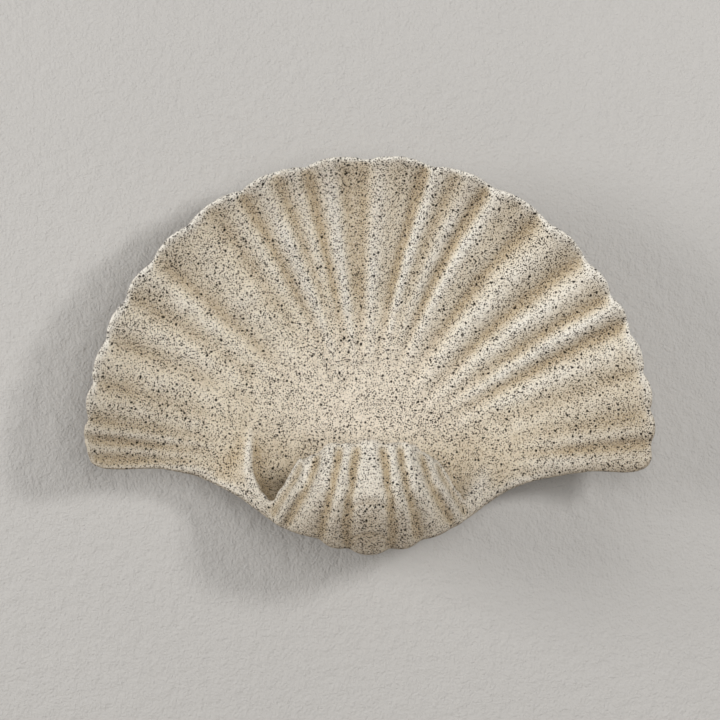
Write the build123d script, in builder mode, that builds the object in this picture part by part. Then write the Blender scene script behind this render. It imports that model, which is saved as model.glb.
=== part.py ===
"""Shell wall light: a cast scallop fan with a lamp pocket behind its lip.

Millimetres, +Z up. The wall is the plane y = 0 and the light stands out from it towards -Y, so
a depth "d" is a distance from the wall, and y = -d. The origin is on the wall, midway between
the two wall screw slots. Heights written "up" are measured from the foot of the lip.
"""
import os
from math import atan2, cos, degrees, hypot, pi, radians, sin, sqrt

from build123d import *

os.makedirs("parts", exist_ok=True)

# ---------------------------------------------------------------- driving dimensions: the shell
mount_up = 72.0            # height of the wall screws above the foot of the lip
hub_up = 51.0              # height of the point that the ribs run to
fan_radius = 181.0         # round outline of the fan
fan_rise = 19.5            # the outline's centre above the hub
dish_depth = 26.0          # front of the dish at the hub, from the wall
dish_flare = 31.0          # how much further forward the rim stands
dish_power = 1.9           # how late the dish curves forward
rim_lift = 4.0             # extra turn forward in the last stretch of the rim
rim_stretch = 0.16         # that stretch, as a share of the radius
rib_height = 5.4           # rib crest above the grooves beside it, at the rim
rib_full = 0.90            # share of the radius where the ribs have their full height
rib_rise = 0.8             # under 1 the ribs gain most of their height early
rib_crown = 0.62           # under 1 the ribs are broad and the grooves between them narrow
scallop = 2.8              # how far the outline draws in at a groove
sheet_hub = 8.0            # thickness of the casting near the hub
sheet_rim = 5.0            # and at the rim

# angles about the hub, anticlockwise from +X, of the notches in the rim; hand cast, so uneven
notch_deg = (6.2, 12.5, 20.0, 28.0, 36.0, 43.5, 54.0, 66.0, 78.0, 90.5, 102.0, 114.5, 126.5,
             136.0, 145.0, 153.5, 162.0, 169.5, 175.0)
# the fan's grooves and crests at the rim: (angle, height from 0 in a groove to 1 on a crest)
rib_marks = ((-1.5, 0.0), (3.0, 0.8), (5.8, 0.1), (8.5, 0.8), (11.8, 0.45), (16, 0.9),
             (20.5, 0.45), (25, 1.0), (30, 0.0), (33.4, 0.85), (36, 0.3), (40.5, 0.95),
             (45, 0.0), (50.5, 1.0), (56.3, 0.0), (60, 0.65), (64, 1.0), (67.3, 0.05),
             (70.5, 0.85), (73.5, 0.6), (76.5, 1.0), (79.3, 0.0), (83, 0.6), (87.3, 1.0),
             (91, 0.3), (94.5, 0.35), (97.8, 1.0), (101.8, 0.0), (105, 0.5), (107.5, 0.25),
             (111.3, 0.95), (115, 0.15), (118, 0.6), (121.5, 0.3), (129, 1.0), (135.3, 0.15),
             (139.5, 0.8), (143.5, 0.25), (149, 0.9), (153, 0.3), (158, 0.85), (162, 0.35),
             (166, 0.8), (169.5, 0.3), (171.5, 0.75), (173.3, 0.0), (175.2, 0.6), (177.2, 0.05),
             (179.5, 0.7), (181.5, 0.0))
# ribs by angle: (angle, strength, share of the radius where they begin)
rib_reach = ((-2, 1.0, 0.50), (6, 1.0, 0.50), (14, 0.6, 0.42), (24, 0.65, 0.36), (31, 1.0, 0.24),
             (100, 1.0, 0.22), (113, 0.85, 0.28), (126, 0.75, 0.33), (140, 0.65, 0.38),
             (160, 0.55, 0.45), (171, 0.85, 0.52), (180, 1.0, 0.55))
# the ribs run to points above the hub, so their angle grows by this much on the way in
rib_bend = ((0, 0.0), (20, 1.0), (30, 2.3), (36, 4.5), (44, 5.8), (56, 7.5), (67, 6.3),
            (79, 5.0), (91, 1.5), (101.5, -0.8), (108, -3.5), (115, -4.0), (135, -4.0),
            (150, -3.0), (165, -1.0), (180, 0.0))
bend_span = 0.57           # share of the radius over which they gain it

# the lip's middle rib: (up, depth of its front)
lip_front = ((-6, 64.0), (2, 73.0), (8, 79.0), (14, 84.0), (21, 88.7), (28, 92.3), (35, 94.6),
             (42, 95.3), (48, 94.2), (54, 91.6), (60, 88.0), (66, 84.0), (74, 78.5), (88, 26.0))
# the underside, on the middle line: (up, depth)
underside = ((-6, 60.0), (2, 60.0), (8, 54.0), (14, 45.0), (21, 36.0), (28, 27.0), (35, 21.0),
             (42, 18.5), (60, 18.0))
# beyond these distances from the middle the casting is only as thick as the fan's sheet
bowl_edge = ((-6, 16.0), (2, 22.0), (8, 36.0), (14, 52.0), (21, 64.0), (28, 75.0), (35, 84.0),
             (42, 96.0), (48, 104.0))
# the lip swells out of the fan between these distances from the middle
swell_inner = 14.0
swell_outer = ((-6, 105.0), (42, 103.0), (52, 98.0), (60, 92.0), (72, 84.0), (88, 76.0))
swell_right = 0.87         # the right side swells out over a shorter distance
# half distances of the lip's grooves from the middle line: (up, first, second, third, fourth)
lip_grooves = ((-6, 13.0, 31.0, 58.0, 68.0), (8, 14.5, 30.5, 57.0, 66.0),
               (20, 15.0, 28.5, 52.5, 62.5), (32, 13.5, 25.5, 45.5, 56.5),
               (48, 10.8, 21.5, 37.0, 45.5), (70, 8.0, 18.0, 31.5, 39.0))
lip_rib = 6.6              # rib height on the lip
lip_rib_shares = (0.95, 0.75, 1.0, 0.85)            # of the rib inside each groove

# the lamp pocket behind the lip: (up, depth of its back wall on the middle line)
pocket_back = ((12, 61.0), (17, 51.0), (23, 42.0), (30, 34.0), (37, 29.0), (45, 26.5), (54, 26.0),
               (72, 26.3), (88, 27.0))
# its floor rises sideways to the notches: (half width, up); past them it is the fold beside it
pocket_half = ((0, 12.0), (22, 12.8), (34, 16.5), (45, 22.0), (56, 28.5), (60, 31.0), (64, 34.5),
               (69, 40.0), (72, 45.0), (75, 54.0), (76, 62.0))
pocket_crown = 3.2         # how square the pocket is in plan
pocket_fade = (66.0, 88.0)              # its back runs into the dish between these heights
lip_wall = 8.0             # thickness of the lip
lip_last = 60.5            # half width of the lip, up to the notch on each side
lip_end = 64.0             # its wall has thinned to nothing here
lip_taper = 7.0            # the lip thins over this distance from its ends
# height of the lip's crest at points across it, left to right, from notch to notch
crest_line = ((-60, 36.8), (-58, 39.5), (-53.5, 45.0), (-48.5, 54.5), (-45, 60.0),
              (-42.5, 62.0), (-39.5, 60.0), (-36, 64.6), (-32.5, 63.5), (-29, 68.6),
              (-24, 71.3), (-17, 70.4), (-12.5, 71.2), (-8.4, 69.4), (-5, 72.4), (0, 73.2),
              (5, 72.4), (8.4, 69.4), (14, 71.4), (22, 71.4), (29, 69.2), (33, 64.0), (36, 64.8),
              (39.2, 60.4), (42.3, 61.0), (46.5, 54.5), (53.5, 43.0), (58, 38.0), (60, 35.8))
crest_round = 4.0          # how far the crest's rounding reaches down
floor_round = 7.0          # fillet between the pocket's floor and the lip
saddle_shares = (0.31, 0.20)            # heights of the slope beside the lip, where it is finest

# lower outline seen from the front, in stretches that meet at the notches between lip ribs
wing_left = ((3 - fan_radius, 62.0), (6 - fan_radius, 56.0), (13 - fan_radius, 52.9),
             (34 - fan_radius, 52.7), (-108.4, 46.6), (-94, 39.9), (-79.4, 32.0), (-65, 22.2),
             (-55, 16.0))
lobes = (((-55, 16.0), (-44, 12.6), (-31.5, 10.2)),
         ((-31.5, 10.2), (-23.5, 4.6), (-13.6, 4.3)),
         ((-13.6, 4.3), (-0.5, -0.4), (13.0, 4.4)),
         ((13.0, 4.4), (23.5, 4.2), (32.5, 9.6)),
         ((32.5, 9.6), (42.5, 11.6), (56, 17.4)))
wing_right = ((56, 17.4), (67, 24.0), (78, 31.4), (90, 38.6), (111.5, 46.0),
              (fan_radius - 31, 50.6), (fan_radius - 13, 51.0), (fan_radius - 6, 54.0),
              (fan_radius - 3, 60.0))

# the boss on the casting's back, which meets the wall round the fixing plate
boss_size = (108.0, 58.0)
boss_wall = 6.0
boss_corner = 20.0
boss_depth = 25.0          # it runs up to the casting, at most to here
floor_depth = 20.5         # flat floor cut into the casting inside the boss
gasket_depth = 1.5         # foam ring between the boss and the wall

# ------------------------------------------------------------ driving dimensions: the fixings
fit_gap = 0.05             # radial clearance of what turns or screws on a thread
free_gap = 0.3             # clearance of what must not touch
plate_gap = (4.0, 3.0)     # between the plate's edges and the boss
plate_thick = 1.5
plate_fold = 4.0           # height of the folded long edges
slot_spacing = 68.0        # between the two wall screw slots
slot_length = 9.0
slot_width = 5.0
fixing_z = -14.0           # height of the studs and of the threaded tube, from the slots
stud_spacing = 48.0
stud_radius = 2.0          # M4
stud_end = 33.5            # depth of the studs' free ends
stud_collar = (3.5, 2.0)   # radius and thickness of the flange on the plate
seat_depth = 25.5          # depth of the flat seats milled in the pocket's back wall
seat_reach = 8.0           # how far forward the milling clears
stud_seat_radius = 7.5
stud_hole_radius = 2.4
stud_washer = (6.5, 1.3)   # radius and thickness
cap_radius = 6.0           # knurled cap nut
cap_height = 9.0
cap_collar = 1.2           # plain rim of the nut below its knurling
cap_dome = 3.5
cap_flutes = 20

tube_radius = 5.0          # M10 hollow threaded tube
tube_bore = 4.0
tube_start, tube_end = 13.0, 34.0
tube_hole_radius = 5.3
tube_seat_radius = 9.2
tube_washer = (8.5, 1.5)
tube_nut_flats = 14.0
tube_nut_thick = 3.0
bush_flange = (4.9, 1.2)
bush_bore = 3.1
bush_length = 4.0

block_size = (27.0, 10.0, 15.0)         # terminal block: width, depth, height
block_z = 9.5              # height of its middle
pole_spacing = 8.5
clamp_radius = 2.1
clamp_bore = 1.1
clamp_length = 12.0
clamp_screw_radius = 1.2
clamp_head = (1.7, 2.0)
block_screw_radius = 1.5
block_screw_head = (2.4, 1.8)
grommet_at = (-24.0, 9.0)
grommet_bore = 4.5
grommet_sleeve = 6.0
grommet_flange = (7.7, 1.6)
earth_at = (24.0, 9.5)
earth_screw_radius = 2.0
earth_head = (4.0, 2.4)
earth_washer_size = (4.6, 0.8)
tag_thick = 0.8
tag_radius = 4.4
wire_radius = 1.0
wire_apart = 3.2           # between the two leads in the threaded tube

# ------------------------------------------------------------ driving dimensions: the lamp
lamp_depth = 61.0          # the lamp's axis, from the wall
strip_thick = 1.5          # lamp bracket
strip_width = 20.0
strip_top_up = 67.0
strip_bend_up = 46.0
foot_up = 18.0             # top of the bracket's foot
foot_start = 53.0          # depth where the foot begins
foot_end = 70.0
holder_size = (18.0, 13.0, 16.0)        # width, depth, height
holder_screw_spacing = 13.0
holder_screw_radius = 1.25
holder_screw_head = (2.2, 1.6)
pin_spacing = 9.0          # two-pin lamp
pin_radius = 0.75
pin_length = 6.5
contact_radius = 1.5
contact_bore = 1.1
contact_length = 9.0
lamp_base_size = (14.0, 10.0, 10.0)
envelope_radius = 7.0
envelope_wall = 0.9
envelope_height = 23.5
core_radius = 3.6
core_height = 17.0
wire_entry_up = 29.0       # where the leads enter the holder's back

# the casting is lofted through upright sections, and then cut to its outline
section_gap = 3.0          # between sections
past_outline = 7.0         # how far a section runs past the outline
section_reach = fan_radius + past_outline / 2       # the outermost sections
back_fade_up = (62.0, 98.0)             # the bowl's back runs into the fan's between these heights
back_fade_half = (90.0, 120.0)          # and between these distances from the middle


# ------------------------------------------------------------------------- shape of the casting
def clamp(value):
    return max(0.0, min(1.0, value))


def smooth(value):
    t = clamp(value)
    return t * t * (3 - 2 * t)


def ramp(span, value):
    """0 before a span and 1 after it, with a soft rise between."""
    return smooth((value - span[0]) / (span[1] - span[0]))


def mix(low, high, share):
    return low + (high - low) * share


def along(table, place, column=1):
    """The value that a table of (place, value, ...) rows gives at a place."""
    if place <= table[0][0]:
        return table[0][column]
    for low, high in zip(table, table[1:]):
        if place <= high[0]:
            return mix(low[column], high[column], (place - low[0]) / (high[0] - low[0]))
    return table[-1][column]


def z_of(up):
    return up - mount_up


def rib_profile(deg):
    """0 in a groove of the fan and 1 on the crest of a rib; deg is the angle at the rim."""
    for (low, first), (high, second) in zip(rib_marks, rib_marks[1:]):
        if low <= deg <= high:
            share = (deg - low) / (high - low)
            if first > second:
                first, second, share = second, first, 1 - share
            return mix(first, second, (0.5 - 0.5 * cos(pi * share)) ** rib_crown)
    return 0.0


def round_radius(deg):
    """Distance from the hub to the fan's round outline."""
    across = fan_rise * cos(radians(deg))
    return fan_rise * sin(radians(deg)) + sqrt(fan_radius ** 2 - across ** 2)


def dish(share):
    """Depth of the dish without its ribs, at a share of the way from the hub to the rim."""
    lift = clamp((share - 1 + rim_stretch) / rim_stretch)
    return dish_depth + dish_flare * share ** dish_power + rim_lift * lift ** 2


def polar(x, up):
    """Angle about the hub, and share of the way to the rim, of a place seen from the front."""
    rise = up - hub_up
    deg = degrees(atan2(rise, x)) if x or rise else 90.0
    if deg < -90:
        deg += 360
    share = hypot(x, rise) / round_radius(max(0.0, min(180.0, deg)))
    return deg, share


def dish_at(x, up):
    return dish(polar(x, up)[1])


def fan_rib(x, up):
    """How far the fan's ribs stand out of the plain dish."""
    deg, share = polar(x, up)
    inward = max(0.0, 1 - share) / bend_span
    rim_deg = deg
    for _ in range(3):
        rim_deg = deg - along(rib_bend, rim_deg) * inward
    start = along(rib_reach, rim_deg, 2)
    level = along(rib_reach, rim_deg, 1) * clamp((share - start) / (rib_full - start)) ** rib_rise
    return rib_height * level * (rib_profile(rim_deg) - 0.6)


def lip_rib_at(x, up):
    """How far the lip's ribs stand out of its plain surface."""
    half = abs(x)
    edges = [0.0] + [along(lip_grooves, up, k) for k in (1, 2, 3, 4)]
    if half < edges[1]:
        return lip_rib * lip_rib_shares[0] * (0.5 - (half / edges[1]) ** 4)
    for k in (1, 2, 3):
        if half <= edges[k + 1]:
            t = (half - edges[k]) / (edges[k + 1] - edges[k])
            return lip_rib * lip_rib_shares[k] * (0.5 - abs(2 * t - 1) ** 2)
    return lip_rib * lip_rib_shares[3] * -0.5 * (1 - smooth((half - edges[4]) / 14))


def swell(x, up):
    """How much of the lip's stand-out is left at a distance from the middle, 1 to 0."""
    outer = along(swell_outer, up) * (swell_right if x > 0 else 1)
    return 0.5 * (1 + cos(pi * clamp((abs(x) - swell_inner) / (outer - swell_inner))))


def plain_front(x, up):
    """Depth of the lip's outer surface, and of the slopes beside it, without ribs."""
    return dish_at(x, up) + (along(lip_front, up) - dish_depth) * swell(x, up)


def front_at(x, up):
    part = swell(x, up) if up < lip_front[-1][0] else 0.0
    return (plain_front(x, up) + lip_rib_at(x, up) * smooth(2.2 * part)
            + fan_rib(x, up) * (1 - smooth(2.5 * part)))


def edge_wall(x):
    """Thickness of the lip, which thins towards its ends."""
    return lip_wall * smooth((lip_end - abs(x)) / lip_taper)


def pocket_reach(up):
    """Half width of the pocket at a height."""
    return along([(high, half) for half, high in pocket_half], up)


def recess_at(x, up):
    """Depth of the dish's front above the pocket, and of the pocket's back wall below."""
    half = pocket_reach(up)
    if abs(x) >= half or up >= pocket_fade[1]:
        return front_at(x, up)
    middle = along(pocket_back, up)
    end = plain_front(half, up) - edge_wall(half)
    wall = mix(middle, end, (abs(x) / half) ** pocket_crown) + fan_rib(x, up)
    return mix(wall, dish_at(x, up) + fan_rib(x, up), ramp(pocket_fade, up))


def rear_at(x, up):
    """Depth of the casting's back and of its underside."""
    sheet = mix(sheet_hub, sheet_rim, smooth(polar(x, up)[1]))
    skin = plain_front(x, up) - sheet
    bowl = mix(along(underside, up), skin, clamp(abs(x) / along(bowl_edge, up)) ** 3)
    part = max(ramp(back_fade_up, up), ramp(back_fade_half, abs(x)))
    return mix(bowl, dish_at(x, up) + 0.5 * fan_rib(x, up) - sheet, part)


def lower_edge(x):
    """Height of the lower outline, roughly, for the ends of the sections."""
    points = wing_left + ((-23.5, 4.6), (-0.5, -0.4), (23.5, 4.2)) + wing_right
    return along(points, x)


def spread(low, high, count):
    return [mix(low, high, k / (count - 1)) for k in range(count)]


def evenly(path, count):
    """That many points at even steps along a path of close points, with both its ends."""
    runs = [0.0]
    for a, b in zip(path, path[1:]):
        runs.append(runs[-1] + hypot(b[0] - a[0], b[1] - a[1]))
    points = []
    for length in spread(0.0, runs[-1], count):
        k = max(i for i, run in enumerate(runs[:-1]) if run <= length + 1e-9)
        share = (length - runs[k]) / (runs[k + 1] - runs[k])
        points.append((mix(path[k][0], path[k + 1][0], share), mix(path[k][1], path[k + 1][1], share)))
    return points


def upright_section(x):
    """Front line, from the top over the lip to the foot, and rear line, of the section at x."""
    top = hub_up + fan_rise + sqrt((fan_radius + past_outline) ** 2 - x * x)
    foot = lower_edge(x) - past_outline
    dish_path = [(recess_at(x, up), up) for up in spread(top, pocket_fade[1], 160)]
    if abs(x) <= lip_last:
        floor, crest, wall = along(pocket_half, abs(x)), along(crest_line, x), edge_wall(x)
        back_path = [(recess_at(x, up), up) for up in spread(pocket_fade[1], floor, 60)[:-1]]
        reach = min(crest_round, (crest - floor) / 2)
        brow = crest - reach
        rounding = min(floor_round, (brow - floor) / 2)
        lip_path = []
        for deg in spread(0, 90, 8)[:-1]:
            up = floor + rounding * (1 - cos(radians(deg)))
            lip_path.append((plain_front(x, up) - wall - rounding * (1 - sin(radians(deg))), up))
        lip_path += [(plain_front(x, up) - wall, up) for up in spread(floor + rounding, brow, 30)]
        back_path.append(lip_path[0])
        inner, outer = plain_front(x, brow) - wall, front_at(x, brow)
        for deg in spread(180, 90, 9)[1:]:
            depth = mix(inner, outer, 0.5 + 0.5 * cos(radians(deg)))
            lip_path.append((depth, brow + reach * sin(radians(deg))))
        outer_path = []
        for deg in spread(90, 0, 9)[:-1]:
            depth = mix(inner, outer, 0.5 + 0.5 * cos(radians(deg)))
            outer_path.append((depth, brow + reach * sin(radians(deg))))
        outer_path += [(front_at(x, up), up) for up in spread(brow, foot, 60)]
    else:
        level, lower = (mix(foot, pocket_fade[1], share) for share in saddle_shares)
        back_path = [(recess_at(x, up), up) for up in spread(pocket_fade[1], level, 60)]
        lip_path = [(recess_at(x, up), up) for up in spread(level, lower, 30)]
        outer_path = [(recess_at(x, up), up) for up in spread(lower, foot, 60)]
    front = evenly(dish_path, 40) + evenly(back_path, 15)[1:]
    front += evenly(lip_path, 11)[1:] + evenly(outer_path, 13)[1:]
    rear = [(rear_at(x, up), up) for up in spread(top, 60.0, 32)]
    rear += [(rear_at(x, up), up) for up in spread(60.0, foot, 14)[1:]]
    return front, rear


def section_face(x):
    front, rear = upright_section(x)
    plane = Plane(origin=(x, 0, 0), x_dir=(0, 1, 0), z_dir=(1, 0, 0))
    with BuildSketch(plane) as made:
        with BuildLine():
            ends = []
            for line in (front, rear):
                points = [(-depth, z_of(up)) for depth, up in line]
                steps = [k / (len(points) - 1) for k in range(len(points))]
                curve = Edge.make_spline([Vector(*p) for p in points], parameters=steps)
                add(curve)
                ends.append(curve)
            Line(ends[0] @ 0, ends[1] @ 0)
            Line(ends[0] @ 1, ends[1] @ 1)
        make_face()
    return made.sketch.face()


hub_z = z_of(hub_up)
casting_front = 2 * max(depth for _, depth in lip_front)
plate_size = (boss_size[0] - 2 * boss_wall - 2 * plate_gap[0],
              boss_size[1] - 2 * boss_wall - 2 * plate_gap[1])


def depth_plane(depth):
    """Upright plane at a distance from the wall; extrusions leave it away from the wall."""
    return Plane.XZ.offset(depth)


def drilled(x, z, start, end, radius):
    """A round cutter along the depth direction."""
    with Locations((x, -(start + end) / 2, z)):
        Cylinder(radius, end - start, rotation=(90, 0, 0), mode=Mode.SUBTRACT)


def ring_piece(x, z, start, thick, radius, bore):
    """A flat washer that lies square to the depth direction."""
    with BuildPart() as made:
        with BuildSketch(depth_plane(start)):
            with Locations((x, z)):
                Circle(radius)
                Circle(bore, mode=Mode.SUBTRACT)
        extrude(amount=thick)
    return made.part


stud_places = [(-stud_spacing / 2, fixing_z), (stud_spacing / 2, fixing_z)]

# ------------------------------------------------------------------------------------ the shell
section_count = round(2 * section_reach / section_gap) + 1
with BuildPart() as shell_body:
    loft([section_face(x) for x in spread(-section_reach, section_reach, section_count)])
    # the outline seen from the front: wing, lip and wing below, and the scalloped rim above
    with BuildSketch(Plane.XZ):
        with BuildLine():
            first = Spline(*[(x, z_of(up)) for x, up in wing_left])
            for lobe in lobes:
                ThreePointArc(*[(x, z_of(up)) for x, up in lobe])
            last = Spline(*[(x, z_of(up)) for x, up in wing_right])
            rim = []
            for low, high in zip(notch_deg, notch_deg[1:]):
                turns = (low, (low + high) / 2, high)
                sizes = (round_radius(low) - scallop, round_radius(turns[1]),
                         round_radius(high) - scallop)
                rim.append(ThreePointArc(*[(size * cos(radians(deg)),
                                            hub_z + size * sin(radians(deg)))
                                           for size, deg in zip(sizes, turns)]))
            Line(last @ 1, rim[0] @ 0)
            Line(rim[-1] @ 1, first @ 0)
        make_face()
    extrude(amount=casting_front, mode=Mode.INTERSECT)
    # the flat floor of the space for the fixings
    with BuildSketch(depth_plane(0)):
        RectangleRounded(boss_size[0] - 2 * boss_wall, boss_size[1] - 2 * boss_wall,
                         boss_corner - boss_wall)
    extrude(amount=floor_depth, mode=Mode.SUBTRACT)
    # seats and holes for the studs and the threaded tube
    for x, z in stud_places:
        drilled(x, z, seat_depth, seat_depth + seat_reach, stud_seat_radius)
        drilled(x, z, 0, seat_depth + 1, stud_hole_radius)
    drilled(0, fixing_z, seat_depth, seat_depth + seat_reach, tube_seat_radius)
    drilled(0, fixing_z, 0, seat_depth + 1, tube_hole_radius)
shell_body.part.label = "shell_body"

with BuildPart() as shell_boss:
    with BuildSketch(depth_plane(gasket_depth)):
        RectangleRounded(*boss_size, boss_corner)
        RectangleRounded(boss_size[0] - 2 * boss_wall, boss_size[1] - 2 * boss_wall,
                         boss_corner - boss_wall, mode=Mode.SUBTRACT)
    extrude(amount=boss_depth - gasket_depth)
    add(shell_body.part, mode=Mode.SUBTRACT)
    # only the ring behind the casting is kept
    ring = shell_boss.solids().sort_by(Axis.Y)[-1]
shell_boss.part = ring
shell_boss.part.label = "shell_boss"

with BuildPart() as back_gasket:
    with BuildSketch(depth_plane(0)):
        RectangleRounded(*boss_size, boss_corner)
        RectangleRounded(boss_size[0] - 2 * boss_wall, boss_size[1] - 2 * boss_wall,
                         boss_corner - boss_wall, mode=Mode.SUBTRACT)
    extrude(amount=gasket_depth)
back_gasket.part.label = "back_gasket"

# ----------------------------------------------------------------------------- plate and studs
with BuildPart() as wall_plate:
    with BuildSketch(depth_plane(0)):
        RectangleRounded(*plate_size, 4)
    extrude(amount=plate_thick)
    for side in (-1, 1):
        with BuildSketch(depth_plane(plate_thick)):
            with Locations((0, side * (plate_size[1] - plate_thick) / 2)):
                Rectangle(plate_size[0] - 12, plate_thick)
        extrude(amount=plate_fold - plate_thick)
    with BuildSketch(depth_plane(0)):
        with GridLocations(slot_spacing, 0, 2, 1):
            SlotOverall(slot_length, slot_width)
        with Locations(*stud_places):
            Circle(stud_radius + fit_gap)
        with Locations(grommet_at):
            Circle(grommet_sleeve + fit_gap)
        with Locations(earth_at):
            Circle(earth_screw_radius + fit_gap)
        with Locations((pole_spacing / 2, block_z)):
            Circle(block_screw_radius + fit_gap)
    extrude(amount=plate_thick, mode=Mode.SUBTRACT)
wall_plate.part.label = "wall_plate"

with BuildPart() as shell_studs:
    with BuildSketch(depth_plane(0)):
        with Locations(*stud_places):
            Circle(stud_radius)
    extrude(amount=stud_end)
    with BuildSketch(depth_plane(plate_thick)):
        with Locations(*stud_places):
            Circle(stud_collar[0])
    extrude(amount=stud_collar[1])
    chamfer(shell_studs.edges().filter_by(GeomType.CIRCLE).group_by(Axis.Y)[0], 0.5)
shell_studs.part.label = "shell_studs"

with BuildPart() as stud_washers:
    for x, z in stud_places:
        add(ring_piece(x, z, seat_depth, stud_washer[1], stud_washer[0], stud_radius + free_gap))
stud_washers.part.label = "stud_washers"

cap_start = seat_depth + stud_washer[1] + free_gap


def cap_nut(x, z):
    """Knurled, domed nut with a blind bore for the stud."""
    with BuildPart() as made:
        with BuildSketch(depth_plane(cap_start)):
            with Locations((x, z)):
                Circle(cap_radius)
        extrude(amount=cap_height)
        fillet(made.faces().sort_by(Axis.Y)[0].edges(), cap_dome)
        with BuildSketch(depth_plane(cap_start + cap_collar)):
            with Locations((x, z)):
                with PolarLocations(cap_radius + 0.25, cap_flutes):
                    Circle(0.6)
        extrude(amount=cap_height, mode=Mode.SUBTRACT)
        with BuildSketch(depth_plane(cap_start)):
            with Locations((x, z)):
                Circle(stud_radius + fit_gap)
        extrude(amount=stud_end + free_gap - cap_start, mode=Mode.SUBTRACT)
    return made.part


with BuildPart() as cap_nut_left:
    add(cap_nut(*stud_places[0]))
cap_nut_left.part.label = "cap_nut_left"

with BuildPart() as cap_nut_right:
    add(cap_nut(*stud_places[1]))
cap_nut_right.part.label = "cap_nut_right"

# ---------------------------------------------------------------------- threaded tube and nuts
tube_axis_z = fixing_z
with BuildPart() as threaded_tube:
    add(ring_piece(0, tube_axis_z, tube_start, tube_end - tube_start, tube_radius, tube_bore))
threaded_tube.part.label = "threaded_tube"


def tube_nut(start):
    with BuildPart() as made:
        with BuildSketch(depth_plane(start)):
            with Locations((0, tube_axis_z)):
                RegularPolygon(tube_nut_flats / 2, 6, major_radius=False)
                Circle(tube_radius + fit_gap, mode=Mode.SUBTRACT)
        extrude(amount=tube_nut_thick)
    return made.part


strip_depth = seat_depth + tube_washer[1]          # back face of the lamp bracket
with BuildPart() as tube_nut_front:
    add(tube_nut(strip_depth + strip_thick))
tube_nut_front.part.label = "tube_nut_front"

with BuildPart() as tube_nut_back:
    add(tube_nut(floor_depth - tube_washer[1] - tube_nut_thick))
tube_nut_back.part.label = "tube_nut_back"

with BuildPart() as tube_washers:
    for start in (seat_depth, floor_depth - tube_washer[1]):
        add(ring_piece(0, tube_axis_z, start, tube_washer[1], tube_washer[0],
                       tube_radius + 0.2))
tube_washers.part.label = "tube_washers"

with BuildPart() as tube_bush:
    add(ring_piece(0, tube_axis_z, tube_end, bush_flange[1], bush_flange[0], bush_bore))
    add(ring_piece(0, tube_axis_z, tube_end - bush_length, bush_length, tube_bore - fit_gap,
                   bush_bore))
tube_bush.part.label = "tube_bush"

# ------------------------------------------------------------------------------ terminal block
block_back = plate_thick
block_front = block_back + block_size[1]
pole_depth = (block_back + block_front) / 2
poles = [-pole_spacing, 0.0, pole_spacing]
block_low = block_z - block_size[2] / 2

with BuildPart() as terminal_block:
    with BuildSketch(depth_plane(block_back)):
        with Locations((0, block_z)):
            RectangleRounded(block_size[0], block_size[2], 1.2)
    extrude(amount=block_size[1])
    for x in poles:
        with Locations((x, -pole_depth, block_z)):
            Cylinder(clamp_radius + fit_gap, block_size[2] + 2, mode=Mode.SUBTRACT)
        drilled(x, block_z, pole_depth, block_front + 1, clamp_head[0] + 0.15)
    drilled(pole_spacing / 2, block_z, block_back - 1, block_front + 1,
            block_screw_radius + fit_gap)
terminal_block.part.label = "terminal_block"

with BuildPart() as terminal_clamps:
    for x in poles:
        with Locations((x, -pole_depth, block_z)):
            Cylinder(clamp_radius, clamp_length)
            Cylinder(clamp_bore, clamp_length, mode=Mode.SUBTRACT)
        drilled(x, block_z, pole_depth, block_front, clamp_screw_radius + fit_gap)
terminal_clamps.part.label = "terminal_clamps"

with BuildPart() as terminal_screws:
    tip = pole_depth + clamp_bore + 0.1
    head = block_front - clamp_head[1]
    with BuildSketch(depth_plane(tip)):
        with Locations(*[(x, block_z) for x in poles]):
            Circle(clamp_screw_radius)
    extrude(amount=head - tip)
    with BuildSketch(depth_plane(head)):
        with Locations(*[(x, block_z) for x in poles]):
            Circle(clamp_head[0])
    extrude(amount=clamp_head[1])
    with BuildSketch(depth_plane(block_front - 0.8)):
        with Locations(*[(x, block_z) for x in poles]):
            Rectangle(2 * clamp_head[0] + 1, 0.6)
    extrude(amount=1, mode=Mode.SUBTRACT)
terminal_screws.part.label = "terminal_screws"

with BuildPart() as block_screw:
    with BuildSketch(depth_plane(0.2)):
        with Locations((pole_spacing / 2, block_z)):
            Circle(block_screw_radius)
    extrude(amount=block_front - 0.2)
    with BuildSketch(depth_plane(block_front)):
        with Locations((pole_spacing / 2, block_z)):
            Circle(block_screw_head[0])
            Rectangle(2.6, 0.7, mode=Mode.SUBTRACT)
    extrude(amount=block_screw_head[1])
block_screw.part.label = "block_screw"

with BuildPart() as cable_grommet:
    add(ring_piece(*grommet_at, 0, plate_thick, grommet_sleeve, grommet_bore))
    add(ring_piece(*grommet_at, plate_thick, grommet_flange[1], grommet_flange[0], grommet_bore))
    fillet(cable_grommet.edges().filter_by(GeomType.CIRCLE).group_by(Axis.Y)[0], 0.6)
cable_grommet.part.label = "cable_grommet"

# --------------------------------------------------------------------------------------- earth
tag_front = plate_thick + tag_thick
with BuildPart() as earth_tag:
    with BuildSketch(depth_plane(plate_thick)):
        with Locations(earth_at):
            Circle(tag_radius)
        with Locations((earth_at[0], earth_at[1] - tag_radius - 2.5)):
            Rectangle(3.4, 6)
        with Locations(earth_at):
            Circle(earth_screw_radius + 0.2, mode=Mode.SUBTRACT)
    extrude(amount=tag_thick)
earth_tag.part.label = "earth_tag"

with BuildPart() as earth_washer:
    add(ring_piece(*earth_at, tag_front, earth_washer_size[1], earth_washer_size[0],
                   earth_screw_radius + 0.2))
earth_washer.part.label = "earth_washer"

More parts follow.
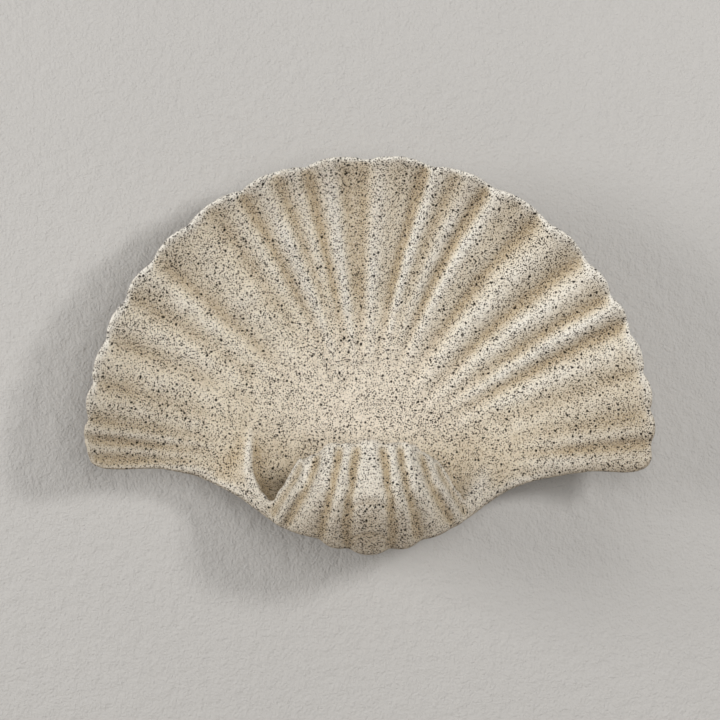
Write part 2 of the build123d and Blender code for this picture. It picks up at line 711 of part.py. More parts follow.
with BuildPart() as earth_screw:
    under_head = tag_front + earth_washer_size[1]
    with BuildSketch(depth_plane(0.2)):
        with Locations(earth_at):
            Circle(earth_screw_radius)
    extrude(amount=under_head - 0.2)
    with BuildSketch(depth_plane(under_head)):
        with Locations(earth_at):
            Circle(earth_head[0])
    extrude(amount=earth_head[1])
    fillet(earth_screw.edges().filter_by(GeomType.CIRCLE).group_by(Axis.Y)[0], 0.8)
    with BuildSketch(depth_plane(under_head + earth_head[1] - 1)):
        with Locations(earth_at):
            Rectangle(2 * earth_head[0] + 1, 1)
            Rectangle(1, 2 * earth_head[0] + 1)
    extrude(amount=2, mode=Mode.SUBTRACT)
earth_screw.part.label = "earth_screw"


# --------------------------------------------------------------------------------------- wires
def wire_piece(points, radii):
    """A round lead along straight runs joined by arcs; points are (x, depth, z)."""
    places = [Vector(x, -depth, z) for x, depth, z in points]
    with BuildPart() as made:
        with BuildLine():
            route = FilletPolyline(*places, radius=radii)
        with BuildSketch(Plane(origin=places[0], z_dir=(route % 0))):
            Circle(wire_radius)
        sweep(path=route)
    return made.part


wire_start = block_z - 1.5                          # the leads end inside the clamps
wire_entry = (lamp_depth - holder_size[1] / 2, z_of(wire_entry_up))


def lamp_lead(pole, side):
    x = side * wire_apart / 2
    return wire_piece([(pole, pole_depth, wire_start), (pole, pole_depth, block_low - 7),
                       (x, pole_depth + 1.2, fixing_z), (x, tube_end + 7, fixing_z),
                       (side * pin_spacing / 2, wire_entry[0] - 7.5, wire_entry[1]),
                       (side * pin_spacing / 2, *wire_entry)], [5, 4.5, 8, 5.5])


with BuildPart() as live_wire:
    add(lamp_lead(poles[0], -1))
live_wire.part.label = "live_wire"

with BuildPart() as neutral_wire:
    add(lamp_lead(poles[1], 1))
neutral_wire.part.label = "neutral_wire"

with BuildPart() as earth_wire:
    tag_low = earth_at[1] - tag_radius - 5.5
    wire_depth = tag_front + wire_radius + 0.05
    add(wire_piece([(poles[2], pole_depth, wire_start), (poles[2], pole_depth, block_low - 6),
                    (earth_at[0], wire_depth, block_low - 6),
                    (earth_at[0], wire_depth, tag_low + 3)], [4, 4]))
earth_wire.part.label = "earth_wire"

# ------------------------------------------------------------------------- bracket and holder
foot_top = z_of(foot_up)
with BuildPart() as lamp_bracket:
    with BuildSketch(Plane.YZ.offset(-strip_width / 2)):
        with BuildLine() as strip:
            Polyline((-strip_depth, z_of(strip_top_up)), (-strip_depth, z_of(strip_bend_up)),
                     (-foot_start, foot_top - strip_thick), (-foot_end, foot_top - strip_thick))
            offset(amount=strip_thick, side=Side.RIGHT)
        make_face()
    extrude(amount=strip_width)
    drilled(0, fixing_z, strip_depth - 1, strip_depth + strip_thick + 1, tube_radius + 0.2)
    with Locations(*[(x, -lamp_depth, foot_top - strip_thick / 2)
                     for x in (-holder_screw_spacing / 2, holder_screw_spacing / 2)]):
        Cylinder(holder_screw_radius + 0.15, 3 * strip_thick, mode=Mode.SUBTRACT)
lamp_bracket.part.label = "lamp_bracket"

holder_top = foot_top + holder_size[2]
pins = [-pin_spacing / 2, pin_spacing / 2]
holder_screws = [-holder_screw_spacing / 2, holder_screw_spacing / 2]
contact_low = holder_top - contact_length - 1

with BuildPart() as lampholder_body:
    with BuildSketch(Plane.XY.offset(foot_top)):
        with Locations((0, -lamp_depth)):
            RectangleRounded(holder_size[0], holder_size[1], 2)
    extrude(amount=holder_size[2])
    chamfer(lampholder_body.faces().sort_by(Axis.Z)[-1].edges(), 0.8)
    with BuildSketch(Plane.XY.offset(holder_top)):
        with Locations(*[(x, -lamp_depth) for x in pins]):
            Circle(contact_radius + fit_gap)
    extrude(amount=contact_low - holder_top, mode=Mode.SUBTRACT)
    with BuildSketch(Plane.XY.offset(foot_top)):
        with Locations(*[(x, -lamp_depth) for x in holder_screws]):
            Circle(holder_screw_radius + fit_gap)
    extrude(amount=5, mode=Mode.SUBTRACT)
lampholder_body.part.label = "lampholder_body"

with BuildPart() as lampholder_contacts:
    with BuildSketch(Plane.XY.offset(contact_low)):
        with Locations(*[(x, -lamp_depth) for x in pins]):
            Circle(contact_radius)
            Circle(contact_bore, mode=Mode.SUBTRACT)
    extrude(amount=contact_length)
lampholder_contacts.part.label = "lampholder_contacts"

with BuildPart() as lampholder_screws:
    screw_low = foot_top - strip_thick
    with BuildSketch(Plane.XY.offset(screw_low)):
        with Locations(*[(x, -lamp_depth) for x in holder_screws]):
            Circle(holder_screw_radius)
    extrude(amount=strip_thick + 4.5)
    with BuildSketch(Plane.XY.offset(screw_low)):
        with Locations(*[(x, -lamp_depth) for x in holder_screws]):
            Circle(holder_screw_head[0])
    extrude(amount=-holder_screw_head[1])
lampholder_screws.part.label = "lampholder_screws"

# ---------------------------------------------------------------------------------------- lamp
base_low = holder_top + free_gap
base_top = base_low + lamp_base_size[2]
with BuildPart() as bulb_base:
    with BuildSketch(Plane.XY.offset(base_low)):
        with Locations((0, -lamp_depth)):
            RectangleRounded(lamp_base_size[0], lamp_base_size[1], 3)
    extrude(amount=lamp_base_size[2])
    chamfer(bulb_base.faces().sort_by(Axis.Z)[0].edges(), 0.8)
bulb_base.part.label = "bulb_base"

with BuildPart() as bulb_pins:
    with BuildSketch(Plane.XY.offset(base_low)):
        with Locations(*[(x, -lamp_depth) for x in pins]):
            Circle(pin_radius)
    extrude(amount=-pin_length)
bulb_pins.part.label = "bulb_pins"


def dome_profile(radius, height):
    """Half outline of a round-topped cylinder that stands on the lamp's base."""
    rise = height - radius
    turn = radius * sqrt(0.5)
    with BuildSketch() as made:
        with BuildLine():
            Polyline((0, height), (0, 0), (radius, 0), (radius, rise))
            ThreePointArc((radius, rise), (turn, rise + turn), (0, height))
        make_face()
    return made.sketch.face()


lamp_plane = Plane(origin=(0, -lamp_depth, base_top), x_dir=(1, 0, 0), z_dir=(0, -1, 0))
with BuildPart() as bulb_envelope:
    with BuildSketch(lamp_plane):
        add(dome_profile(envelope_radius, envelope_height))
    revolve(axis=Axis((0, -lamp_depth, 0), (0, 0, 1)))
    with BuildSketch(lamp_plane):
        add(dome_profile(envelope_radius - envelope_wall, envelope_height - envelope_wall))
    revolve(axis=Axis((0, -lamp_depth, 0), (0, 0, 1)), mode=Mode.SUBTRACT)
bulb_envelope.part.label = "bulb_envelope"

with BuildPart() as led_core:
    with BuildSketch(Plane.XY.offset(base_top)):
        with Locations((0, -lamp_depth)):
            Circle(core_radius)
    extrude(amount=core_height)
    chamfer(led_core.edges().filter_by(GeomType.CIRCLE).sort_by(Axis.Z)[-1], 0.8)
led_core.part.label = "led_core"

pieces = (shell_body, shell_boss, back_gasket, wall_plate, shell_studs, stud_washers, cap_nut_left,
          cap_nut_right, threaded_tube, tube_nut_front, tube_nut_back, tube_washers, tube_bush,
          terminal_block, terminal_clamps, terminal_screws, block_screw, cable_grommet,
          earth_tag, earth_washer, earth_screw, live_wire, neutral_wire, earth_wire,
          lamp_bracket, lampholder_body, lampholder_contacts, lampholder_screws, bulb_base,
          bulb_pins, bulb_envelope, led_core)
for piece in pieces:
    export_step(piece.part, f"parts/{piece.part.label}.step")
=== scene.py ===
"""Looks of the shell wall sconce: cast stone shell, lamp, fixings, wall and studio."""
import math

import bmesh
import bpy
import numpy as np
from mathutils import Matrix, Vector, noise


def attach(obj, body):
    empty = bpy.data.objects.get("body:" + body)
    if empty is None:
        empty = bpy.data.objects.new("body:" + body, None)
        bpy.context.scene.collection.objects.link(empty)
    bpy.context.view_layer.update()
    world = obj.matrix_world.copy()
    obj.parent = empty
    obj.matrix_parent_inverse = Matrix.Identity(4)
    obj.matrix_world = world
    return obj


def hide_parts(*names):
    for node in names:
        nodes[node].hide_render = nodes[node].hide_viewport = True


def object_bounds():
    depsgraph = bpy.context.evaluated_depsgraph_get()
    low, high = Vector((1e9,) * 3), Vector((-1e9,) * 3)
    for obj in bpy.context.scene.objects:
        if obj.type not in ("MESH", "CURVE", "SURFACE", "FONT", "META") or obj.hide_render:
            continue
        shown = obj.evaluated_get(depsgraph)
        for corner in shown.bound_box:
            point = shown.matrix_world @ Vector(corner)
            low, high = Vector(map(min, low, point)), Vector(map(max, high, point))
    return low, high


bl_info = {
    "name": "Shell wall sconce",
    "version": (1, 0, 0),
    "blender": (4, 5, 0),
    "location": "View3D > Sidebar > Shell sconce",
    "description": "Builds the looks of a cast shell wall light round its CAD frame",
    "category": "Object",
}

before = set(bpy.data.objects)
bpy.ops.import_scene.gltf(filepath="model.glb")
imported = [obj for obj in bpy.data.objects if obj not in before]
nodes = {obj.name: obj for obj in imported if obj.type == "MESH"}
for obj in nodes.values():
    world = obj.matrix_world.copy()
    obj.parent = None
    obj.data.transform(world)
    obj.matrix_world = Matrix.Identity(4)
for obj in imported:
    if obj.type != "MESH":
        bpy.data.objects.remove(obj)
cad_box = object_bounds()
MM = 0.001

# the cast skin, in mm unless said
BOSS_FRONT = 4.0            # the boss's points further from the wall than this
BOSS_PUSH = 1.0             # go forward into the shell, so that both become one skin
WELD = 0.01
WIDE_LUMPS, WIDE_SHARE = 45, 0.7        # hand relief: lumps to a metre, and their share
CLOSE_LUMPS, CLOSE_SHARE = 110, 0.35
PLAIN_DEPTH, RELIEF_RAMP = 20.0, 8.0    # no relief nearer to the wall than this
GROOVE_PASSES, GROOVE_REACH = 24, 0.8

# broad painted shade and light on the stone: darker at the foot and at the wing tips, paler in
# the middle of the bowl
FOOT_TOP, FOOT_FADE = 30.0, 90.0
WING_START, WING_FADE, WING_TOP = 95.0, 60.0, 70.0
DISH_UP, DISH_RADIUS = 15.0, 80.0
DISH_FOOT, DISH_FADE = 8.0, 16.0

# the fold to the right of the lamp pocket
FOLD_X, FOLD_Z = 74.0, -20.0
FOLD_REACH, FOLD_CLOSER, FOLD_PASSES = 23.0, 0.45, 36
FOLD_TALL = 0.7             # its zone is taller than wide
FOLD_FACING = 0.1           # the side to the wall is left as it is

# growth steps on the lip's middle rib
LIP_FOOT = 72.0             # the lip's foot below the origin
STEP_HALF, STEP_FRONT = 15.0, 70.0
STEPS_UP = ((36.0, 0.9), (15.5, 1.1))   # height above the foot, and depth
STEP_ARCH, STEP_EDGE, STEP_FADE = 34.0, 1.5, 7.0
STEP_INNER, STEP_BLEND = 14.0, 4.0

# the stage, in metres
WALL_SIZE, WALL_GAP = 4.0, 0.4 * MM
BOSS_OPENING = (34 * MM, 9 * MM, 19.6 * MM)     # half width and height, and radius round them
FLOOR_LEVEL = -1.2


# --------------------------------------------------------------------------------- shader tools
class Value:
    """A shader socket that takes part in Python expressions."""

    def __init__(self, shader, socket):
        self.shader = shader
        self.socket = socket

    def _math(self, operation, first, second):
        return self.shader.node("ShaderNodeMath", {"operation": operation}, {0: first, 1: second})

    def __add__(self, other):
        return self._math("ADD", self, other)

    def __sub__(self, other):
        return self._math("SUBTRACT", self, other)

    def __rsub__(self, other):
        return self._math("SUBTRACT", other, self)

    def __mul__(self, other):
        return self._math("MULTIPLY", self, other)

    def __truediv__(self, other):
        return self._math("DIVIDE", self, other)

    def over(self, other):
        """The larger of two values."""
        return self._math("MAXIMUM", self, other)

    def under(self, other):
        """The smaller of two values."""
        return self._math("MINIMUM", self, other)

    def clamped(self):
        """Held between 0 and 1."""
        return self.over(0.0).under(1.0)

    def below(self, other):
        """1 where this is less than the other."""
        return self._math("LESS_THAN", self, other)


class Shader:
    """One material and the nodes in it."""

    def __init__(self, name, **sockets):
        self.material = bpy.data.materials.new(name)
        self.material.use_nodes = True
        self.tree = self.material.node_tree
        self.surface = self.tree.nodes["Principled BSDF"]
        self.set(**sockets)

    def set(self, **sockets):
        """Sets the surface's sockets, named with underscores for spaces."""
        for key, value in sockets.items():
            self._feed(self.surface.inputs[key.replace("_", " ")], value)

    def _feed(self, socket, value):
        if isinstance(value, Value):
            self.tree.links.new(value.socket, socket)
        elif socket.type == "RGBA" and len(value) == 3:
            socket.default_value = (*value, 1.0)
        else:
            socket.default_value = value

    def node(self, kind, settings=None, sockets=None, out=0):
        """Adds a node with its settings, then its sockets; gives one of its outputs."""
        made = self.tree.nodes.new(kind)
        for key, value in (settings or {}).items():
            setattr(made, key, value)
        for key, value in (sockets or {}).items():
            self._feed(made.inputs[key], value)
        return Value(self, made.outputs[out])

    def place(self):
        """Object coordinates, in metres."""
        return self.node("ShaderNodeTexCoord", out="Object")

    def attribute(self, name):
        """A value that the mesh carries at its points."""
        return self.node("ShaderNodeAttribute", {"attribute_name": name}, out="Fac")

    def cloud(self, size, detail=2.0, rough=0.5, at=None):
        """Noise from 0 to 1 whose lumps are about that many millimetres across."""
        return self.node("ShaderNodeTexNoise", sockets={
            "Vector": at or self.place(), "Scale": 1 / (size * MM), "Detail": detail,
            "Roughness": rough}, out="Fac")

    def mix(self, share, first, second):
        """Blend of two colours."""
        made = self.tree.nodes.new("ShaderNodeMix")
        made.data_type = "RGBA"
        self._feed(made.inputs[0], share)
        self._feed(made.inputs[6], first)
        self._feed(made.inputs[7], second)
        return Value(self, made.outputs[2])

    def bump(self, height, depth):
        """Normal for a relief whose height socket of 1 stands that many millimetres out."""
        return self.node("ShaderNodeBump", sockets={
            "Height": height, "Distance": depth * MM, "Strength": 1.0})


def rgb(red, green, blue):
    """Linear colour for a display colour given from 0 to 255."""
    return tuple((c / 255 / 12.92) if c <= 10 else ((c / 255 + 0.055) / 1.055) ** 2.4
                 for c in (red, green, blue))


# -------------------------------------------------------------------------------------- settings
class ShellLook(bpy.types.PropertyGroup):
    """The cast shell's surface."""
    voxel: bpy.props.FloatProperty(
        name="Skin step", description="Distance between the points of the cast skin, in mm",
        default=1.56, min=1.2, max=4.0)
    softness: bpy.props.IntProperty(
        name="Softness", description="Smoothing passes that round the cast edges", default=3)
    relief: bpy.props.FloatProperty(
        name="Hand relief", description="Height of the hand-made unevenness, in mm", default=0.6)
    body_colour: bpy.props.FloatVectorProperty(
        name="Body", description="Colour of the stone mix", subtype="COLOR", size=3,
        default=rgb(228, 216, 194))
    # the crest colour is a painted highlight on crests and edges
    crest_colour: bpy.props.FloatVectorProperty(
        name="Crests", description="Colour on crests and edges", subtype="COLOR", size=3,
        default=rgb(240, 234, 222))
    # the groove colour is partly the stone's warmer tone and partly painted shade
    groove_colour: bpy.props.FloatVectorProperty(
        name="Grooves", description="Colour in the grooves", subtype="COLOR", size=3,
        default=rgb(190, 170, 138))
    speck_colour: bpy.props.FloatVectorProperty(
        name="Specks", description="Colour of the dark specks", subtype="COLOR", size=3,
        default=rgb(30, 18, 9))


class StageLook(bpy.types.PropertyGroup):
    """The wall, the lamps and the camera."""
    wall_colour: bpy.props.FloatVectorProperty(
        name="Wall", description="Colour of the plaster wall", subtype="COLOR", size=3,
        default=rgb(199, 196, 192))
    key_power: bpy.props.FloatProperty(
        name="Left lamp", description="Power of the broad lamp at the left", unit="POWER",
        default=22.0)
    side_power: bpy.props.FloatProperty(
        name="Right lamp", description="Power of the small lamp at the right", unit="POWER",
        default=14.0)
    front_power: bpy.props.FloatProperty(
        name="Front lamp", description="Power of the broad lamp in front", unit="POWER",
        default=12.5)
    sky: bpy.props.FloatProperty(
        name="Room light", description="Strength of the light from all round", default=0.17)
    distance: bpy.props.FloatProperty(
        name="Camera distance", description="From the shell's rim to the camera", unit="LENGTH",
        default=1.9)
    view_width: bpy.props.FloatProperty(
        name="View width", description="Width of the view at the shell's rim", unit="LENGTH",
        default=0.454)


# ------------------------------------------------------------------------------------- materials
def dotted(shader, at, cell, share, small, large):
    """Mask of grains: one to a cell in a share of the cells, with radii in mm."""
    spot = {"Vector": at, "Scale": 1 / (cell * MM), "Randomness": 1.0}
    near = shader.node("ShaderNodeTexVoronoi", sockets=spot, out="Distance")
    tint = shader.node("ShaderNodeTexVoronoi", sockets=spot, out="Color")
    red = shader.node("ShaderNodeSeparateColor", sockets={0: tint}, out=0)
    green = shader.node("ShaderNodeSeparateColor", sockets={0: tint}, out=1)
    radius = (green * (large - small) + small) / cell
    edge = ((radius - near) / (0.1 / cell)).clamped()
    return edge * red.below(share)


def stone_material(look):
    """Matt cream stone mix, full of dark grains. Warmer and darker in the grooves, partly the
    stone's own tone and partly painted shade; paler on crests and edges, a painted highlight;
    painted shade at the foot, on the wing tips and on what faces down, and painted light in the
    middle of the bowl.
    """
    shader = Shader("shell_stone", Roughness=0.86, Specular_IOR_Level=0.12)
    place = shader.place()
    wobble = shader.node("ShaderNodeTexNoise", sockets={
        "Vector": place, "Scale": 1 / (1.1 * MM), "Detail": 2.0}, out="Color")
    shift = shader.node("ShaderNodeVectorMath", {"operation": "SCALE"},
                        {0: wobble, "Scale": 0.8 * MM})
    at = shader.node("ShaderNodeVectorMath", {"operation": "ADD"}, {0: place, 1: shift})
    hollow = shader.attribute("hollow")
    under = shader.attribute("under")
    patchy = shader.cloud(17, 3.0)
    grain = shader.cloud(0.8, 3.0, 0.75)
    sand = shader.cloud(2.4, 3.0, 0.7)
    # speck density drifts at random, and rises on what faces down, which is painted shade there
    thick = (shader.cloud(30, 2.0) - 0.5) * 0.9 + under * 0.2
    fine = dotted(shader, at, 0.8, thick + 0.85, 0.24, 0.38)
    middle = dotted(shader, at, 1.2, thick + 0.78, 0.33, 0.54)
    coarse = dotted(shader, at, 2.8, thick + 0.5, 0.5, 0.88)
    across, height = (shader.node("ShaderNodeSeparateXYZ", sockets={0: place}, out=axis)
                      for axis in (0, 2))
    # painted shade: darker towards the bottom, below FOOT_TOP; it also adds to the groove tint
    foot = ((FOOT_TOP * MM - height) / (FOOT_FADE * MM)).clamped()
    # groove tint: partly the stone's warmer tone, partly painted shade in the grooves
    groove = (hollow * 0.95 + (patchy - 0.5) * 0.9 + foot * 0.25).clamped()
    # painted shade on the wing tips, growing outwards and towards the bottom
    wing_shade = ((across.over(across * -1.0) - WING_START * MM) / (WING_FADE * MM)).clamped()
    wing_shade = wing_shade * ((WING_TOP * MM - height) / (WING_TOP * MM)).clamped()
    # painted highlight on crests and edges
    crest = (shader.attribute("crest") * 1.1 + (patchy - 0.5) * 0.4).clamped()
    colour = shader.mix(groove, look.body_colour, look.groove_colour)
    colour = shader.mix(crest, colour, look.crest_colour)
    # painted shade at the foot
    colour = shader.mix(foot * 0.5, colour, rgb(178, 161, 134))
    # broad tints, set by the photograph's brightness: painted light makes the middle of the bowl
    # paler, painted shade makes the wing tips browner
    rise = height - DISH_UP * MM
    dish_light = 1.0 - (across * across + rise * rise) / (DISH_RADIUS * MM) ** 2
    dish_light = dish_light.clamped() * ((height + DISH_FOOT * MM) / (DISH_FADE * MM)).clamped()
    colour = shader.mix(dish_light * 0.7, colour, rgb(250, 238, 220))
    colour = shader.mix(wing_shade * 0.55, colour, rgb(170, 154, 128))
    # painted shade on what faces down
    colour = shader.mix(under * 0.5, colour, rgb(150, 133, 110))
    colour = shader.mix(((sand - 0.5) * 3).clamped() * 0.5, colour, rgb(172, 156, 130))
    colour = shader.mix(((0.47 - grain) * 5).clamped() * 0.6, colour, rgb(242, 239, 230))
    colour = shader.mix(fine * 0.8, colour, rgb(66, 46, 28))
    colour = shader.mix(middle * 0.95, colour, look.speck_colour)
    colour = shader.mix(coarse * 0.95, colour, rgb(20, 12, 7))
    relief = grain * 0.5 - middle * 0.35 - coarse * 0.4
    shader.set(Base_Color=colour, Normal=shader.bump(relief, 0.4),
               Roughness=patchy * 0.1 + 0.84)
    return shader.material


def metal_material(name, colour, rough, dull, dull_share=0.35, brushed=(1, 1, 1)):
    """Metal with fine scratches along a direction and a dull bloom."""
    shader = Shader(name, Metallic=1.0)
    stretch = shader.node("ShaderNodeMapping", sockets={
        "Vector": shader.place(), "Scale": brushed})
    fine = shader.cloud(0.5, 3.0, 0.6, stretch)
    bloom = shader.cloud(5.0, 3.0, 0.6)
    share = ((bloom - 0.45) * 2.5).clamped() * dull_share
    shader.set(Base_Color=shader.mix(share, colour, dull),
               Roughness=fine * 0.22 + (rough - 0.11) + share * 0.25,
               Normal=shader.bump(fine, 0.02))
    return shader.material


def plain_material(name, colour, rough, grain=0.4, depth=0.03, tint=0.10, **sockets):
    """Moulded or fired stuff: slight mottling of the colour, and a fine skin."""
    shader = Shader(name, **sockets)
    lumps = shader.cloud(grain, 2.0)
    wide = shader.cloud(grain * 12, 2.0)
    darker = tuple(c * (1 - tint) for c in colour)
    shader.set(Base_Color=shader.mix(wide, colour, darker),
               Roughness=lumps * 0.12 + (rough - 0.06),
               Normal=shader.bump(lumps, depth))
    return shader.material


def dress(material, *names):
    """Gives CAD nodes a material."""
    for name in names:
        slots = nodes[name].material_slots
        if not slots:
            nodes[name].data.materials.append(material)
        for slot in slots:
            slot.material = material


# ------------------------------------------------------------------------------------ mesh tools
def add_piece(name, mesh, material, body):
    """A new piece that rides on a body and takes the given material."""
    piece = bpy.data.objects.new(name, mesh)
    bpy.context.scene.collection.objects.link(piece)
    mesh.materials.clear()
    mesh.materials.append(material)
    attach(piece, body)
    return piece


def applied(piece):
    """Gives the piece the mesh that its modifiers make, and takes them off."""
    depsgraph = bpy.context.evaluated_depsgraph_get()
    mesh = bpy.data.meshes.new_from_object(piece.evaluated_get(depsgraph))
    piece.modifiers.clear()
    piece.data = mesh
    return mesh


def neighbour_mean(values, pairs, counts):
    """Mean of each point's neighbours along the mesh's edges."""
    total = np.zeros_like(values)
    np.add.at(total, pairs[:, 0], values[pairs[:, 1]])
    np.add.at(total, pairs[:, 1], values[pairs[:, 0]])
    return total / counts[:, None]


def hollow_and_crest(mesh, passes, reach):
    """Marks grooves and crests, from 0 to 1, by how far the softened skin leaves the mesh."""
    count = len(mesh.vertices)
    places = np.empty(count * 3)
    mesh.vertices.foreach_get("co", places)
    places = places.reshape(-1, 3)
    normals = np.empty(count * 3)
    mesh.vertex_normals.foreach_get("vector", normals)
    normals = normals.reshape(-1, 3)
    pairs = np.empty(len(mesh.edges) * 2, dtype=np.int64)
    mesh.edges.foreach_get("vertices", pairs)
    pairs = pairs.reshape(-1, 2)
    counts = np.maximum(np.bincount(pairs.ravel(), minlength=count), 1)
    soft = places
    for _ in range(passes):
        soft = neighbour_mean(soft, pairs, counts)
    lift = ((soft - places) * normals).sum(axis=1) / (reach * MM)
    for name, sign in (("hollow", 1), ("crest", -1)):
        layer = mesh.attributes.new(name, "FLOAT", "POINT")
        layer.data.foreach_set("value", np.clip(sign * lift, 0, 1).astype(np.float32))


def growth_step(place):
    """How far the skin of the lip's middle rib is set back under its growth scales, in mm."""
    across, up = place.x / MM, place.z / MM + LIP_FOOT
    back = 0.0
    if abs(across) < STEP_HALF and place.y < -STEP_FRONT * MM:
        for edge, depth in STEPS_UP:
            below = edge - across ** 2 / STEP_ARCH - up
            if below > 0:
                back += depth * min(1.0, below / STEP_EDGE) * math.exp(-below / STEP_FADE)
    return back * min(1.0, max(0.0, (STEP_INNER - abs(across)) / STEP_BLEND))


def underside_shade(mesh):
    """Marks what faces down, from 0 to 1, for painted shade there."""
    count = len(mesh.vertices)
    normals = np.empty(count * 3)
    mesh.vertex_normals.foreach_get("vector", normals)
    down = np.clip((-normals.reshape(-1, 3)[:, 2] - 0.02) / 0.5, 0, 1)
    layer = mesh.attributes.new("under", "FLOAT", "POINT")
    layer.data.foreach_set("value", down.astype(np.float32))


# ------------------------------------------------------------------------------------- operators
class SCONCE_OT_shell(bpy.types.Operator):
    """Cast shell: a soft, slightly uneven skin over the CAD solids"""
    bl_idname = "sconce.shell"
    bl_label = "Cast shell"

    def execute(self, context):
        look = context.scene.sconce_shell
        solid = bpy.data.meshes.new("cast_shell")
        piece = add_piece("cast_shell", solid, stone_material(look), "fixed_body")
        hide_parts("shell_body", "shell_boss")
        form = bmesh.new()
        form.from_mesh(nodes["shell_boss"].data)
        for vert in form.verts:
            if vert.co.y < -BOSS_FRONT * MM:
                vert.co.y -= BOSS_PUSH * MM
        form.from_mesh(nodes["shell_body"].data)
        bmesh.ops.remove_doubles(form, verts=form.verts, dist=WELD * MM)
        form.to_mesh(solid)
        form.free()
        skin = piece.modifiers.new("skin", "REMESH")
        skin.mode = "VOXEL"
        skin.voxel_size = look.voxel * MM
        mesh = applied(piece)
        form = bmesh.new()
        form.from_mesh(mesh)
        for _ in range(look.softness):
            bmesh.ops.smooth_vert(form, verts=form.verts, factor=0.5, use_axis_x=True,
                                  use_axis_y=True, use_axis_z=True)
        form.normal_update()
        self.soften_fold(form)
        for vert in form.verts:
            lump = (noise.noise(vert.co * WIDE_LUMPS) * WIDE_SHARE
                    + noise.noise(vert.co * CLOSE_LUMPS) * CLOSE_SHARE)
            keep = min(1.0, max(0.0, (-vert.co.y - PLAIN_DEPTH * MM) / (RELIEF_RAMP * MM)))
            lift = lump * look.relief * keep - growth_step(vert.co)
            vert.co += vert.normal * lift * MM
            for axis in range(3):
                inside = max(vert.co[axis], cad_box[0][axis])
                vert.co[axis] = min(inside, cad_box[1][axis])
        for face in form.faces:
            face.smooth = True
        form.to_mesh(mesh)
        form.free()
        hollow_and_crest(mesh, GROOVE_PASSES, GROOVE_REACH)
        underside_shade(mesh)
        return {"FINISHED"}

    def soften_fold(self, form):
        """The fold beside the lamp pocket is soft on the right, and crisp on the left."""
        fold = Vector((FOLD_X * MM, 0, FOLD_Z * MM))
        near = []
        for vert in form.verts:
            up = FOLD_TALL * (vert.co.z - fold.z)
            away = ((vert.co.x - fold.x) ** 2 + up ** 2) ** 0.5
            if away < FOLD_REACH * MM and vert.normal.y < FOLD_FACING:
                near.append((away, vert))
        for turn in range(FOLD_PASSES):
            reach = (FOLD_REACH - turn * FOLD_CLOSER) * MM
            bmesh.ops.smooth_vert(form, verts=[vert for away, vert in near if away < reach],
                                  factor=0.5, use_axis_x=True, use_axis_y=True,
                                  use_axis_z=True)
        form.normal_update()


class SCONCE_OT_fixings(bpy.types.Operator):
    """Finishes of the plate, studs, nuts, tube, terminals and leads"""
    bl_idname = "sconce.fixings"
    bl_label = "Fixings"

    def execute(self, context):
        zinc = metal_material("zinc_steel", rgb(176, 178, 180), 0.38, rgb(128, 130, 133),
                              0.5, (1, 1, 0.12))
        steel = metal_material("screw_steel", rgb(190, 190, 190), 0.3, rgb(140, 138, 134))
        brass = metal_material("brass", rgb(202, 170, 104), 0.32, rgb(140, 108, 62), 0.5)
        dress(zinc, "wall_plate", "tube_washers", "lamp_bracket")
        dress(steel, "shell_studs", "terminal_screws", "block_screw", "earth_washer",
              "earth_screw", "lampholder_screws", "bulb_pins")
        dress(brass, "cap_nut_left", "cap_nut_right", "threaded_tube", "tube_nut_front",
              "tube_nut_back", "terminal_clamps", "earth_tag", "lampholder_contacts")
        dress(plain_material("foam", rgb(58, 57, 56), 0.95, 0.5, 0.15), "back_gasket")
        dress(plain_material("grommet_rubber", rgb(40, 40, 40), 0.7), "cable_grommet")
        dress(plain_material("fibre", rgb(146, 78, 60), 0.8, 0.3, 0.05, 0.25), "stud_washers")
        dress(plain_material("nylon", rgb(226, 224, 214), 0.45), "terminal_block", "tube_bush")
        dress(plain_material("live_sheath", rgb(96, 58, 36), 0.42), "live_wire")
        dress(plain_material("neutral_sheath", rgb(48, 92, 160), 0.42), "neutral_wire")
        dress(plain_material("earth_sheath", rgb(120, 160, 50), 0.42), "earth_wire")
        return {"FINISHED"}


class SCONCE_OT_lamp(bpy.types.Operator):
    """Finishes of the lamp and its holder"""
    bl_idname = "sconce.lamp"
    bl_label = "Lamp"

    def execute(self, context):
        dress(plain_material("porcelain", rgb(232, 228, 216), 0.5, 0.6, 0.04), "lampholder_body")
        dress(plain_material("lamp_ceramic", rgb(232, 231, 226), 0.35), "bulb_base")
        dress(plain_material("phosphor", rgb(228, 196, 92), 0.6), "led_core")
        glass = plain_material("lamp_glass", rgb(240, 242, 240), 0.12, 2.0, 0.005, 0.02,
                               Transmission_Weight=0.9, IOR=1.45)
        dress(glass, "bulb_envelope")
        return {"FINISHED"}


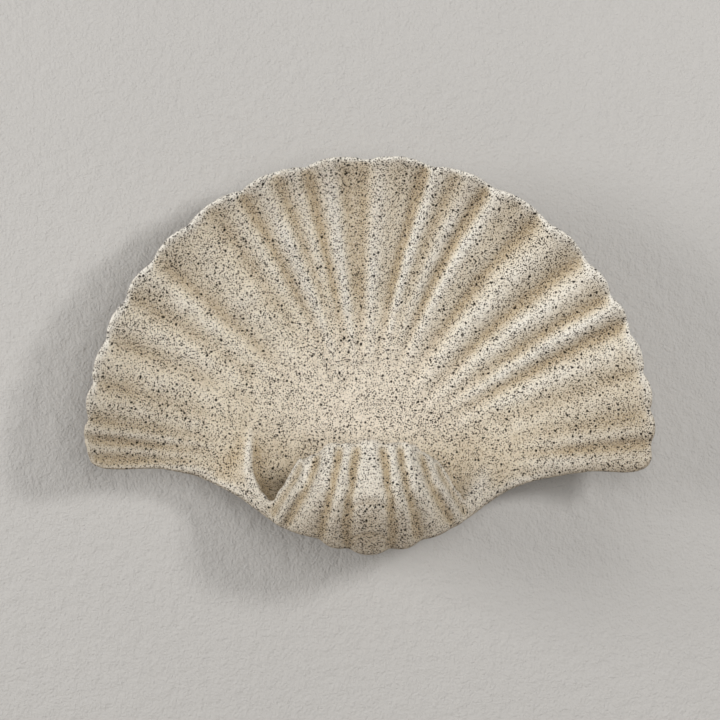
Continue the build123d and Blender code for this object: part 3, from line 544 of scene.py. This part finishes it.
class SCONCE_OT_stage(bpy.types.Operator):
    """Plaster wall, pale floor, studio lamps and camera"""
    bl_idname = "sconce.stage"
    bl_label = "Stage"

    def execute(self, context):
        scene = context.scene
        look = scene.sconce_stage
        centre = Vector((-6 * MM, 0, 50 * MM))
        # within the shell's boss the wall is open, so that light reaches the plate from behind
        upright = Matrix.Rotation(math.pi / 2, 4, "X")
        self.flat("wall", look.wall_colour, WALL_SIZE,
                  Matrix.Translation((0, WALL_GAP, 0)) @ upright, BOSS_OPENING)
        self.flat("floor", rgb(200, 196, 190), WALL_SIZE,
                  Matrix.Translation((0, 0, FLOOR_LEVEL)))
        for name, power, spot, size in (
                ("left_lamp", look.key_power, (-1.74, -0.92, 0.45), 0.8),
                ("right_lamp", look.side_power, (1.2, -1.48, 0.6), 0.3),
                ("front_lamp", look.front_power, (0.3, -1.98, 0.25), 0.9)):
            lamp = bpy.data.lights.new(name, "AREA")
            lamp.energy = power
            lamp.size = size
            made = bpy.data.objects.new(name, lamp)
            made.location = spot
            made.rotation_mode = "QUATERNION"
            made.rotation_quaternion = (centre - made.location).to_track_quat("-Z", "Y")
            scene.collection.objects.link(made)
        world = bpy.data.worlds.new("room")
        world.use_nodes = True
        back = world.node_tree.nodes["Background"]
        back.inputs["Color"].default_value = (1.0, 1.0, 1.0, 1.0)
        back.inputs["Strength"].default_value = look.sky
        scene.world = world
        scene.view_settings.view_transform = "Standard"
        lens = bpy.data.cameras.new("camera")
        rim = 60 * MM
        lens.sensor_width = 36.0
        lens.lens = 36.0 * look.distance / look.view_width
        camera = bpy.data.objects.new("camera", lens)
        camera.location = centre + Vector((0, -rim - look.distance, 0))
        camera.rotation_euler = (math.pi / 2, 0, 0)
        scene.collection.objects.link(camera)
        scene.camera = camera
        return {"FINISHED"}

    def flat(self, name, colour, size, place, opening=None):
        """A square of plaster that is clear from behind, and in a round-cornered opening."""
        form = bmesh.new()
        bmesh.ops.create_grid(form, x_segments=1, y_segments=1, size=size / 2, matrix=place)
        mesh = bpy.data.meshes.new(name)
        form.to_mesh(mesh)
        form.free()
        shader = Shader(name, Roughness=0.9, Specular_IOR_Level=0.2)
        skin = shader.cloud(9, 4.0, 0.62)
        fine = shader.cloud(1.6, 2.0)
        shader.set(Base_Color=shader.mix(shader.cloud(160, 3.0), colour,
                                         tuple(0.93 * c for c in colour)),
                   Normal=shader.bump(skin * 0.7 + fine * 0.3, 2.4))
        clear = shader.node("ShaderNodeBsdfTransparent")
        hidden = shader.node("ShaderNodeNewGeometry", out="Backfacing")
        if opening:
            across, up = (shader.node("ShaderNodeSeparateXYZ", sockets={0: shader.place()},
                                      out=axis) for axis in (0, 2))
            beside = (across.over(across * -1.0) - opening[0]).over(0.0)
            above = (up.over(up * -1.0) - opening[1]).over(0.0)
            hidden = hidden.over((beside * beside + above * above).below(opening[2] ** 2))
        shown = shader.node("ShaderNodeMixShader", sockets={
            0: hidden, 1: Value(shader, shader.surface.outputs[0]), 2: clear})
        end = shader.tree.nodes["Material Output"]
        shader.tree.links.new(shown.socket, end.inputs["Surface"])
        mesh.materials.append(shader.material)
        made = bpy.data.objects.new(name, mesh)
        bpy.context.scene.collection.objects.link(made)


class SCONCE_PT_panel(bpy.types.Panel):
    """Lists the steps that build the sconce's looks"""
    bl_idname = "SCONCE_PT_panel"
    bl_label = "Shell sconce"
    bl_space_type = "VIEW_3D"
    bl_region_type = "UI"
    bl_category = "Shell sconce"

    def draw(self, context):
        for look in (context.scene.sconce_shell, context.scene.sconce_stage):
            for key in look.__annotations__:
                self.layout.prop(look, key)
        for step in STEPS:
            self.layout.operator(step.bl_idname)


STEPS = (SCONCE_OT_shell, SCONCE_OT_fixings, SCONCE_OT_lamp, SCONCE_OT_stage)
CLASSES = (ShellLook, StageLook, *STEPS, SCONCE_PT_panel)


def register():
    for made in CLASSES:
        bpy.utils.register_class(made)
    bpy.types.Scene.sconce_shell = bpy.props.PointerProperty(type=ShellLook)
    bpy.types.Scene.sconce_stage = bpy.props.PointerProperty(type=StageLook)


def unregister():
    del bpy.types.Scene.sconce_stage
    del bpy.types.Scene.sconce_shell
    for made in reversed(CLASSES):
        bpy.utils.unregister_class(made)


def main():
    register()
    bpy.ops.sconce.shell()
    bpy.ops.sconce.fixings()
    bpy.ops.sconce.lamp()
    bpy.ops.sconce.stage()


if __name__ == "__main__":
    main()
